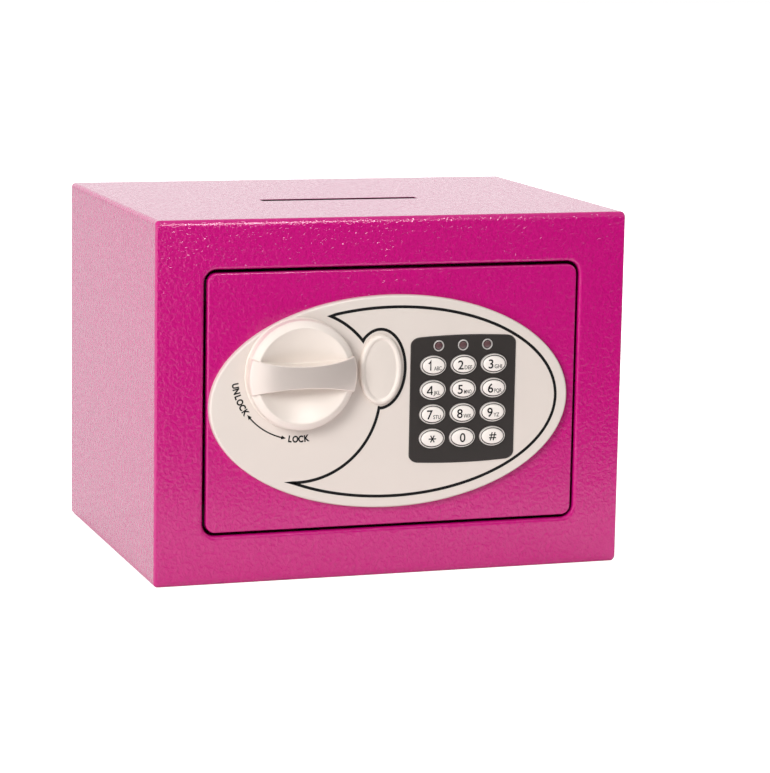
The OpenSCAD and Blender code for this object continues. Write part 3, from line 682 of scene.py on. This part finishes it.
def buildKnob():
    hub, foot = middle("knob_body"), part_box("knob_body")[1].y
    r, h, lip = knob["radius"], knob["height"], knob["footLip"]
    rim = h - knob["rimDrop"]
    edge = rim - knob["bevelDrop"]
    dish = r - knob["dishInset"]
    deep = rim - knob["floor"]
    ball = (dish * dish + deep * deep) / 2 / deep

    def lathe(name, profile):
        return rawPiece(name, turned(profile, hub.x, foot, hub.z))

    # each cutter stands higher than what it cuts
    body = lathe("knobBody", [(axis, 0), (r + lip, 0), (r + lip, lip), (r, lip + knob["footRound"]),
                              (r - knob["taper"], h + 1), (axis, h + 1)])
    air = [(axis, rim - deep)]
    for a in (i / knob["dishSteps"] * dish for i in range(1, knob["dishSteps"] + 1)):
        air.append((a, rim - deep + ball - sqrt(ball * ball - a * a)))
    air += [(dish + knob["dishLip"], rim), *((r + out, edge + up) for out, up in knob["bevel"])]
    air += [(air[-1][0], h + 3), (axis, h + 3)]
    bowl = carve(lathe("cutter", air), barPrism(0.0, lambda x: -2, lambda x: h + 5, foot, hub))
    under = grip["thick"] + knob["seatDrop"]
    seat = barPrism(knob["seatSlack"], lambda x: crestAt(x, under), lambda x: h + 4, foot, hub)
    carve(body, bowl, seat)
    melt = body.modifiers.new("melt", "REMESH")  # rounds every moulded edge
    melt.mode, melt.voxel_size = "VOXEL", knob["voxel"] * mm
    ease = body.modifiers.new("ease", "SMOOTH")
    ease.factor, ease.iterations = knob["ease"], 1
    bake(body)
    dress(body, "knob", ["knob_body"], sharp=180, flat=False)


def buildGrip():
    hub, foot = middle("knob_body"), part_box("knob_body")[1].y
    end, roll, thick = grip["end"], grip["endRoll"], grip["thick"]
    rollX = end - roll
    rollH = crestAt(rollX, roll)
    turn = pi / 2 - atan2(rollX, rollH - knob["height"] + knob["crestRadius"])
    path = [(end, height) for height in grip["foot"]]
    for t in (turn * i / grip["rollSteps"] for i in range(grip["rollSteps"] + 1)):
        path.append((rollX + roll * cos(t), rollH + roll * sin(t)))
    last = path[-1][0]
    for x in (last * (1 - i / grip["crestSteps"]) for i in range(1, grip["crestSteps"])):
        path.append((x, crestAt(x)))
    path += [(0.0, knob["height"])] + [(-x, y) for x, y in reversed(path)]
    section = [*grip["section"], (1, thick)]
    section = [(-side, depth) for side, depth in reversed(section[1:])] + section
    loops = []
    for i, (x, y) in enumerate(path):
        a, b = path[max(i - 1, 0)], path[min(i + 1, len(path) - 1)]
        way = Vector((b[0] - a[0], b[1] - a[1])).normalized()
        out = Vector((way.y, -way.x))
        half = barHalf(x)
        ring = []
        for side, depth in section:
            bow = sqrt(1 - (side * half / end) ** 2)  # the ends follow the knob's round
            px, py = (x - out.x * depth) * bow, y - out.y * depth
            ring.append(Vector((hub.x + px * mm, foot - py * mm, hub.z + side * half * mm)))
        loops.append(ring)
    dress(rawPiece("knobGrip", skin(loops)), "knob", ["knob_grip"], sharp=60)


buildKnob()
buildGrip()
print("knob built")


# oval cap over the override lock, of (inset, behind the plate's face) in mm
cap = {
    "foot": ((1.7, 1.5), (1.7, 0.02), (0.15, 0.02)), "crownTall": 0.92,
    "crown": ((0.0, -0.9), (0.15, -1.6), (0.55, -2.15), (1.15, -2.45), (1.75, -2.45), (2.3, -2.2),
              (2.75, -1.85), (3.1, -1.72), (3.6, -1.74), (6.0, -1.85), (8.5, -1.9))}


def buildCap():
    mid, size = middle("override_cover"), sizeOf("override_cover")
    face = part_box("faceplate")[0].y
    rows = [(inset, inset, behind) for inset, behind in cap["foot"]]
    rows += [(inset, inset * cap["crownTall"], behind) for inset, behind in cap["crown"]]
    loops = []
    for across, up, behind in rows:
        outline = ellipse(size.x - 2 * across * mm, size.z - 2 * up * mm)
        loops.append(inFront(outline, face + behind * mm, mid.x, mid.z))
    dress(rawPiece("overrideCap", skin(loops)), "override_cap", ["override_cover"], "knob", sharp=60)


buildCap()
print("override cap built")


# panel with bulged ends; more points stand on its long edges
keypad = {
    "corner": 4.4 * mm, "cornerSteps": 10, "bulge": 1.05 * mm, "edge": 0.5 * mm, "edgePoints": 16,
    "longEdge": 5 * mm, "keySlack": 0.5 * mm}
# digit and letters of each key
keyLetters = ("ABC", "DEF", "GHI", "JKL", "MNO", "PQR", "STU", "VWX", "YZ")
keyFaces = {"key_" + digit: (digit, letters) for digit, letters in zip("123456789", keyLetters)}
keyFaces.update({"key_star": ("*", ""), "key_0": ("0", ""), "key_hash": ("#", "")})
# in mm; profile of (inset, behind the ring's front, finish); finish 2, black, is painted shade in the groove
# between ring and face
keyShape = {
    "size": (12.7, 9.3), "steps": 48, "ringBack": 0.9,
    "profile": ((0.0, 2.2, 1), (0.0, 0.3, 1), (0.08, 0.08, 1), (0.25, 0.0, 1), (0.52, 0.03, 1),
                (0.6, 0.3, 2), (0.95, 0.3, 2), (1.02, -0.35, 0), (1.2, -0.62, 0), (1.6, -0.76, 0),
                (2.8, -0.83, 0), (4.2, -0.85, 0))}
keyPrint = {
    "sink": 0.06, "digitHeight": 4.15, "digitBold": 0.01, "digitAside": -1.85, "aloneAside": -0.2,
    "stroke": 0.6, "aloneStroke": 0.9, "lettersHeight": 1.8, "lettersBold": 0.006,
    "lettersWidth": 3.7, "lettersWide": 0.86}


def spoke(turn, length):  # a stroke through the middle
    u, v = length * cos(turn), length * sin(turn)
    return (-u, -v), (u, v)


# signs drawn as strokes, in mm from the sign's middle
keyStrokes = {
    "1": (((-0.95, 1.1), (0.0, 1.85), (0.1, 2.08), (0.1, -2.08)),),
    "4": (((0.75, -2.08), (0.75, 1.85), (0.6, 1.85), (-1.3, -0.75), (-1.3, -1.0), (1.35, -1.0)),),
    "*": tuple(spoke(pi * k / 3, 1.85) for k in range(3)),
    "#": (((-1.15, -1.95), (-0.3, 1.95)), ((0.3, -1.95), (1.15, 1.95)),
          ((-1.7, 0.68), (1.85, 0.68)), ((-1.85, -0.68), (1.7, -0.68)))}


def panelOutline(inset):
    size, corner, extra = sizeOf("keypad_panel"), keypad["corner"], keypad["edgePoints"]
    points = rectIn(size, inset, corner - inset, keypad["cornerSteps"])
    outline = []
    for (u, v), (nextU, nextV) in zip(points, points[1:] + points[:1]):
        spots = [u]
        if abs(v - nextV) < 1e-9 and abs(u - nextU) > keypad["longEdge"]:
            spots += [u + (nextU - u) * k / extra for k in range(1, extra)]
        share = max(abs(v) - size.z / 2 + corner, 0) / corner  # none along the sides, full at the ends
        for spot in spots:
            fall = keypad["bulge"] * (spot / (size.x / 2)) ** 2 * share
            outline.append((spot, v - fall if v > 0 else v + fall))
    return outline


def buildPanel():
    wide, tall = (side * mm + keypad["keySlack"] for side in keyShape["size"])
    openings = dict.fromkeys(keyFaces, ellipse(wide, tall, keyShape["steps"]))
    buildPlate("keypadPanel", "keypad_panel", panelOutline, keypad["edge"], openings)


def printKey(bm, digit, letters, place):
    tall = keyPrint["digitHeight"]
    aside = keyPrint["digitAside"] if letters else keyPrint["aloneAside"]
    if digit in keyStrokes:
        width = keyPrint["stroke"] * (1 if letters else keyPrint["aloneStroke"])
        for path in keyStrokes[digit]:
            ribbon(bm, [(u + aside, v) for u, v in path], width, False, place)
    else:
        stamp(bm, digit, tall, aside, -tall / 2, 0, place, bold=keyPrint["digitBold"])
    if letters:
        height, bold = keyPrint["lettersHeight"], keyPrint["lettersBold"]
        across = [vert.co.x * height / capHeight for vert in letterShape(letters, bold).vertices]
        span = max(across) - min(across)
        wide = min(keyPrint["lettersWide"], keyPrint["lettersWidth"] / span)
        stamp(bm, letters, height, span * wide / 2, -tall / 2, 0, place, wide, bold)


def buildKey(node):
    front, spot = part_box(node)[0].y, middle(node)
    ring = front + keyShape["ringBack"] * mm
    wide, tall = keyShape["size"]
    loops, paint = [], []
    for inset, behind, finish in keyShape["profile"]:
        outline = ellipse((wide - 2 * inset) * mm, (tall - 2 * inset) * mm, keyShape["steps"])
        loops.append(inFront(outline, ring + behind * mm, spot.x, spot.z))
        paint.append(finish)
    bm = skin(loops, paint=paint[1:])
    plain = len(bm.faces)

    def place(u, v, lift):
        return Vector((spot.x + u * mm, front + keyPrint["sink"] * mm + lift, spot.z + v * mm))

    printKey(bm, *keyFaces[node], place)
    bm.faces.ensure_lookup_table()
    for face in bm.faces[plain:]:
        face.material_index = 2
    # the groove's black is painted shade; the legends on the same finish are print
    dress(rawPiece(node.replace("_", ""), bm), node, [node], sharp=40, also=(keyRing, inkAndShade))


# places from the panel's middle; profiles of (radius, height) in mm, with the front at rise
indicator = {
    "x": (-12.5 * mm, -0.4 * mm, 11.7 * mm), "z": 25.6 * mm, "steps": 40,
    "rimRise": 0.5 * mm, "lensRise": 0.7 * mm,
    "rim": ((2.0, -1.6), (2.6, -1.6), (2.6, 0.25), (2.52, 0.42), (2.35, 0.5), (2.15, 0.45), (2.0, 0.2)),
    "lens": ((axis, -2.5), (1.8, -2.5), (1.8, -0.1), (1.6, 0.35), (1.1, 0.6), (0.5, 0.7), (axis, 0.7))}


def buildIndicators():
    panel, steps = middle("keypad_panel"), indicator["steps"]
    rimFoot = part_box("led_bezels")[0].y + indicator["rimRise"]
    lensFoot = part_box("led_lenses")[0].y + indicator["lensRise"]
    rims, lenses = bmesh.new(), bmesh.new()
    for aside in indicator["x"]:
        x, z = panel.x + aside, panel.z + indicator["z"]
        pour(rims, turned(indicator["rim"], x, rimFoot, z, steps, wrap=True))
        pour(lenses, turned(indicator["lens"], x, lensFoot, z, steps))
    dress(rawPiece("indicatorRims", rims), "door", ["led_bezels"])
    dress(rawPiece("indicatorLenses", lenses), "door", ["led_lenses"])


buildPanel()
for keyNode in keyFaces:
    buildKey(keyNode)
buildIndicators()
print("keypad built")


# inside of the door, seen when it is open
coverScrew = {  # in mm, the crown in shares of head and rise
    "head": 2.8, "shank": 1.5, "length": 10.0, "rise": 1.6, "steps": 40, "cross": (3.0, 0.75, 0.9),
    "crown": ((1.0, 0.35), (0.9, 0.72), (0.65, 0.94), (0.3, 1.0))}
lockBolt = {  # in mm
    "radius": 6.0, "holeRadius": 2.05, "holeDepth": 10.0, "chamfer": 0.3,
    "tip": ((6.0, 1.5), (5.85, 1.0), (5.0, 0.25), (4.5, 0.0), (axis, 0.0))}
innerCover = {
    "corner": 3 * mm, "roll": 2 * mm, "rollSteps": 6, "sheet": 1 * mm, "cutDepth": 3 * mm,
    "holeSlack": 0.2 * mm, "notchSlack": 1 * mm, "notchDepth": 2 * mm, "trayLand": 2 * mm,
    "trayCorner": 2 * mm}


def screwSpots():
    low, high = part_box("cover_screws")
    r = coverScrew["head"] * mm
    return [(x, z) for x in (low.x + r, high.x - r) for z in (low.z + r, high.z - r)]


def boltHeights():
    low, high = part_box("lock_bolts")
    return low.z + lockBolt["radius"] * mm, high.z - lockBolt["radius"] * mm


def buildInnerCover():
    low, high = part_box("door_cover")
    mid, size = middle("door_cover"), sizeOf("door_cover")
    sheet, roll, slack, notch = (innerCover[k] for k in ("sheet", "roll", "holeSlack", "notchSlack"))

    def loop(inset, y):
        return inFront(rectIn(size, inset, innerCover["corner"] - inset), y, mid.x, mid.z)

    def opening(points, x, z):
        return prism(points, high.y - innerCover["cutDepth"], high.y + clear, x, z)

    loops = [loop(sheet, high.y - sheet), loop(sheet, low.y), loop(0, low.y)]
    loops += [loop(inset, high.y - drop) for inset, drop in rolled(roll, innerCover["rollSteps"])]
    cover = rawPiece("innerCover", skin(loops))
    cutters = []
    reach = lockBolt["radius"] * mm + notch
    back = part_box("lock_bolts")[1].y + notch
    for z in boltHeights():
        cutters.append(block((low.x - clear, low.y - clear, z - reach),
                             (low.x + innerCover["notchDepth"], back, z + reach)))
    hole = 2 * (coverScrew["shank"] * mm + slack)
    cutters += [opening(circle(hole, 24), x, z) for x, z in screwSpots()]
    spot = middle("battery_tray")
    tray = rectIn(sizeOf("battery_tray"), innerCover["trayLand"], innerCover["trayCorner"])
    cutters.append(opening(tray, spot.x, spot.z))
    spot, hole = middle("reset_button"), sizeOf("reset_button").x + 2 * slack
    cutters.append(opening(circle(hole, 32), spot.x, spot.z))
    dress(carve(cover, *cutters), "door", ["door_cover"])


lid = {
    "edge": 0.8 * mm, "corner": 3 * mm,
    "rim": 3.2 * mm, "rimWall": 1.3 * mm, "rimCorners": (1 * mm, 2 * mm),
    "grooves": 6, "groovePitch": 2.4 * mm, "grooveSize": (1.1 * mm, 26 * mm), "grooveCorner": 0.5 * mm,
    "grooveDepth": 0.5 * mm, "grooveAside": 0.2}


def buildLid():
    low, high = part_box("battery_lid")
    mid, size = middle("battery_lid"), sizeOf("battery_lid")
    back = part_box("door_cover")[1].y
    rim, wall, (inner, outer) = lid["rim"], lid["rimWall"], lid["rimCorners"]

    def loop(inset, radius, y):
        return inFront(rectIn(size, inset, radius), y, mid.x, mid.z)

    loops = [loop(rim + wall, inner, back), loop(rim + wall, inner, low.y),
             loop(rim, outer, low.y), loop(rim, outer, back), loop(0, lid["corner"], back)]
    loops += [loop(inset, lid["corner"] - inset, high.y - drop) for inset, drop in rolled(lid["edge"])]
    plate = rawPiece("batteryLid", skin(loops))
    groove = roundedRect(*lid["grooveSize"], lid["grooveCorner"], 4)
    cutters = []
    for i in range(lid["grooves"]):
        x = mid.x - size.x * lid["grooveAside"] + (i - lid["grooves"] / 2) * lid["groovePitch"]
        cutters.append(prism(groove, high.y - lid["grooveDepth"], high.y + clear, x, mid.z))
    dress(carve(plate, *cutters), "battery_lid", ["battery_lid"])


# profile of (radius, in front of the cover's back) in mm
button = {
    "profile": ((axis, 3.4), (3.1, 3.4), (3.1, -1.3), (2.95, -1.7), (2.5, -1.95), (2.0, -1.95),
                (1.0, -1.72), (axis, -1.65)), "steps": 48}


def buildButton():
    spot, back = middle("reset_button"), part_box("door_cover")[1].y
    shape = turned(button["profile"], spot.x, back, spot.z, button["steps"])
    dress(rawPiece("resetButton", shape), "reset_button", ["reset_button"])


def buildScrews():
    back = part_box("door_cover")[1].y
    head, shank, length, rise = (coverScrew[k] for k in ("head", "shank", "length", "rise"))
    profile = [(axis, length), (shank, length), (shank, 0), (head, 0),
               *((head * across, -rise * up) for across, up in coverScrew["crown"]), (axis, -rise)]
    wide, thin, deep = (side * mm for side in coverScrew["cross"])
    top = back + rise * mm
    screws = bmesh.new()
    for x, z in screwSpots():
        screw = rawPiece("screw", turned(profile, x, back, z, coverScrew["steps"]))
        cross = [block((x - a / 2, top - deep, z - b / 2), (x + a / 2, top + clear, z + b / 2))
                 for a, b in ((wide, thin), (thin, wide))]
        screws.from_mesh(carve(screw, *cross).data)
        bpy.data.objects.remove(screw)
    dress(rawPiece("coverScrews", screws), "door", ["cover_screws"])


def buildBolts():
    low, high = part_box("lock_bolts")
    radius, hole, depth, chamfer = (lockBolt[k] for k in ("radius", "holeRadius", "holeDepth", "chamfer"))
    tail = ((axis, depth), (hole, depth), (hole, 0), (radius - chamfer, 0), (radius, chamfer))
    profile = [(r * mm, high.x - a * mm) for r, a in tail]
    profile += [(r * mm, low.x + a * mm) for r, a in lockBolt["tip"]]
    bolts = bmesh.new()
    for z in boltHeights():
        pour(bolts, skin(alongX(profile, (low.y + high.y) / 2, z)))
    dress(rawPiece("lockBolts", bolts), "bolts", ["lock_bolts"])


# rolled jackets with bright ends, of (radius, along) in mm for a cell of this radius
cell = {
    "count": 4, "radius": 6.9, "jacketFrom": 6.3, "steps": 48,
    "foot": ((axis, 0.0), (4.3, 0.0), (4.6, 0.25), (5.9, 0.25), (6.4, 0.25), (6.85, 0.5), (6.9, 1.0)),
    "end": ((6.9, 1.9), (6.85, 1.45), (6.4, 1.2), (5.9, 1.2), (5.6, 1.35), (2.75, 1.35), (2.75, 0.2),
            (2.5, 0.0), (axis, 0.0))}


def buildCells():
    low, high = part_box("battery_cells")
    radius, length = (high.y - low.y) / 2, high.x - low.x
    grow = radius / (cell["radius"] * mm)
    step = (high.z - low.z - 2 * radius) / (cell["count"] - 1)
    ends = [(r * grow * mm, a * mm) for r, a in cell["foot"]]
    ends += [(r * grow * mm, length - a * mm) for r, a in cell["end"]]
    bright = [int(r <= cell["jacketFrom"] * grow * mm) for r, a in ends]
    paint = [min(pair) for pair in zip(bright, bright[1:])]
    cells = bmesh.new()
    for i in range(cell["count"]):
        profile = [(r, low.x + a if i % 2 else high.x - a) for r, a in ends]  # turned end for end
        loops = alongX(profile, (low.y + high.y) / 2, low.z + radius + i * step, cell["steps"])
        shape = skin(loops, paint=paint)
        for face in shape.faces:
            if len(face.verts) > 4:
                face.material_index = 1
        pour(cells, shape)
    dress(rawPiece("batteryCells", cells), "door", ["battery_cells"], also=(finishes["steel"],))


buildInnerCover()
buildLid()
buildButton()
buildScrews()
buildBolts()
buildCells()
print("inside of the door built")


# the rest keep their CAD shapes and get their finish by slot
for node in nodes:
    if slotOf(node) in finishes:
        nodes[node].data.materials[0] = finishes[slotOf(node)]
nodes["door_stops"].data.materials[0] = paintedShade  # painted shade: the door stops get a dark finish, for the shade behind the door gap
print("CAD pieces finished")


# pale floor, white surroundings, soft boxes and a dark flag on the camera's side
stageSet = {
    "floor": 6.0, "floorColour": rgb(232, 230, 229), "floorGlow": 0.8, "floorGleam": 0.05,
    "skyLevel": 0.23, "darkColour": rgb(20, 20, 20),
    "underInset": 2 * mm, "underHeights": (0.1 * mm, 0.2 * mm),
    "behindDepths": (1.2 * mm, 1.4 * mm), "behindSlack": 0.1 * mm,
    # place, aim, size and power; the low one is light off the floor onto the foot of the front
    "lamps": {"keyBox": ((-1.7, -1.6, 1.2), (0, 0, 0.08), (1.1, 1.1), 60.0),
              "topBox": ((0.1, 0.35, 1.6), (0, 0, 0.08), (1.6, 1.6), 15.0),
              "rearBox": ((1.3, 2.0, 1.1), (0, 0, 0.08), (1.2, 1.2), 26.0),
              "lowBox": ((0.02, -0.22, 0.004), (0.0, -0.085, 0.012), (0.34, 0.05), 0.045)},
    # boards only reflections see: x, y and z from one edge to the other, and brightness
    "boards": {"flag": ((-0.1, 1.2), (-0.25, -0.25), (0, 0.22), 0.0),
               "lid": ((-0.7, 0.7), (-0.45, 0.25), (0.6, 0.6), 0.5),
               "glintBoard": ((0.0, 0.12), (-0.5, -0.48), (0.31, 0.38), 24.0),
               # keeps the glint off the roof
               "shade": ((-0.16, 0.26), (-0.2, -0.2), (0.222, 0.32), 0.3),
               "sideBoard": ((-1.6, -0.116), (-0.1, 2.2), (0.002, 0.002), 0.9)},
    "boardColour": (0.004, 0.004, 0.004, 1), "flagFade": 0.04, "flagFoot": 0.29}


def seenDirect(tree, level, gleam):  # level for the eye, gleam for mirrors and glass, none for lighting
    path = addNode(tree, "ShaderNodeLightPath").outputs
    total = 0.0
    for ray, strength in (("Is Camera Ray", level), ("Is Glossy Ray", gleam), ("Is Transmission Ray", gleam)):
        total = calc(tree, "MULTIPLY_ADD", path[ray], strength, total)
    return total


def buildFloor():
    bm = bmesh.new()
    bmesh.ops.create_grid(bm, size=stageSet["floor"])
    floor = rawPiece("floor", bm)
    finish = plasticFinish("paleFloor", stageSet["floorColour"], 0.9)
    tree = finish.node_tree
    shader = tree.nodes["Principled BSDF"]
    shader.inputs["Emission Color"].default_value = (1, 1, 1, 1)
    glow = seenDirect(tree, stageSet["floorGlow"], stageSet["floorGleam"])
    tree.links.new(glow, shader.inputs["Emission Strength"])
    floor.data.materials.append(finish)


def buildShadeCards():  # painted shade: dark cards under the cabinet and behind its back wall, seen through its holes, for the shade there
    inset, (bottom, top) = stageSet["underInset"], stageSet["underHeights"]
    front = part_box("cabinet_shell")[0].y
    backs = [block((cadBox[0][0] + inset, front + inset, bottom),
                   (cadBox[1][0] - inset, cadBox[1][1] - inset, top), "shadeUnder")]
    wall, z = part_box("back_panel")[0].y, middle("back_panel").z
    near, far = stageSet["behindDepths"]
    reach = cabinet["anchorRadius"] + stageSet["behindSlack"]
    for x in (-cabinet["anchorX"], cabinet["anchorX"]):
        backs.append(block((x - reach, wall + near, z - reach),
                           (x + reach, wall + far, z + reach), "shadeBehind"))
    dark = plasticFinish("shadeUnder", stageSet["darkColour"], 0.9)
    for back in backs:
        back.data.materials.append(dark)


def fadeFlag(tree):  # paler towards the floor, so the floor fades into it
    split = addNode(tree, "ShaderNodeSeparateXYZ", {0: objectPlace(tree)})
    glow = vary(tree, split.outputs["Z"], stageSet["flagFoot"], 0.0, 0.0, stageSet["flagFade"], "SMOOTHSTEP")
    tree.links.new(glow, tree.nodes["Principled BSDF"].inputs["Emission Strength"])


def buildBoards():
    for name, ((left, right), (y0, y1), (z0, z1), level) in stageSet["boards"].items():
        bm = bmesh.new()
        corners = ((left, y0, z0), (right, y0, z0), (right, y1, z1), (left, y1, z1))
        bm.faces.new([bm.verts.new(corner) for corner in corners])
        board = rawPiece(name, bm)
        finish = plasticFinish(name, stageSet["boardColour"], 1.0, Specular_IOR_Level=0.0,
                               Emission_Color=(1, 1, 1, 1), Emission_Strength=level)
        if name == "flag":
            fadeFlag(finish.node_tree)
        board.data.materials.append(finish)
        board.visible_camera = board.visible_diffuse = False
        board.visible_transmission = board.visible_shadow = False


def buildLamps():
    for name, (place, target, size, power) in stageSet["lamps"].items():
        lamp = bpy.data.lights.new(name, "AREA")
        lamp.energy, lamp.shape = power, "RECTANGLE"
        lamp.size, lamp.size_y = size
        holder = newObject(name, lamp)
        holder.location = place
        aim = Vector(target) - holder.location
        holder.rotation_mode = "QUATERNION"
        holder.rotation_quaternion = aim.to_track_quat("-Z", "Y")
        holder.visible_camera = holder.visible_glossy = False


def buildWorld():
    world = bpy.data.worlds.new("studio")
    world.use_nodes = True
    bpy.context.scene.world = world
    tree = world.node_tree
    tree.nodes.clear()
    sky, white = (addNode(tree, "ShaderNodeBackground", {"Color": (1, 1, 1, 1), "Strength": level}).outputs[0]
                  for level in (stageSet["skyLevel"], 1.0))
    mix = addNode(tree, "ShaderNodeMixShader", {0: seenDirect(tree, 1.0, 1.0), 1: sky, 2: white})
    addNode(tree, "ShaderNodeOutputWorld", {"Surface": mix.outputs[0]})


# camera from the cabinet's corners in the photograph
camera = {
    "target": (24.6 * mm, 0.0, 74.9 * mm), "distance": 1491.8 * mm,
    "azimuth": -18.89, "elevation": 9.68, "roll": 1.05,
    "focalPixels": 3001.8, "longSide": 773, "sensor": 36.0}


def buildCamera():
    az, el, roll = (radians(camera[k]) for k in ("azimuth", "elevation", "roll"))
    back = Vector((sin(az) * cos(el), -cos(az) * cos(el), sin(el)))
    level = (-back).cross(Vector((0, 0, 1))).normalized()
    upright = level.cross(-back)
    right = level * cos(roll) + upright * sin(roll)
    up = upright * cos(roll) - level * sin(roll)
    data = bpy.data.cameras.new("photoCamera")
    data.sensor_width = camera["sensor"]
    data.lens = camera["focalPixels"] * data.sensor_width / camera["longSide"]
    holder = newObject("photoCamera", data)
    place = Vector(camera["target"]) + back * camera["distance"]
    holder.matrix_world = Matrix.Translation(place) @ Matrix((right, up, back)).transposed().to_4x4()
    bpy.context.scene.camera = holder


buildFloor()
buildShadeCards()
buildBoards()
buildLamps()
buildWorld()
buildCamera()
bpy.context.scene.view_settings.view_transform = "Standard"
print("stage set")
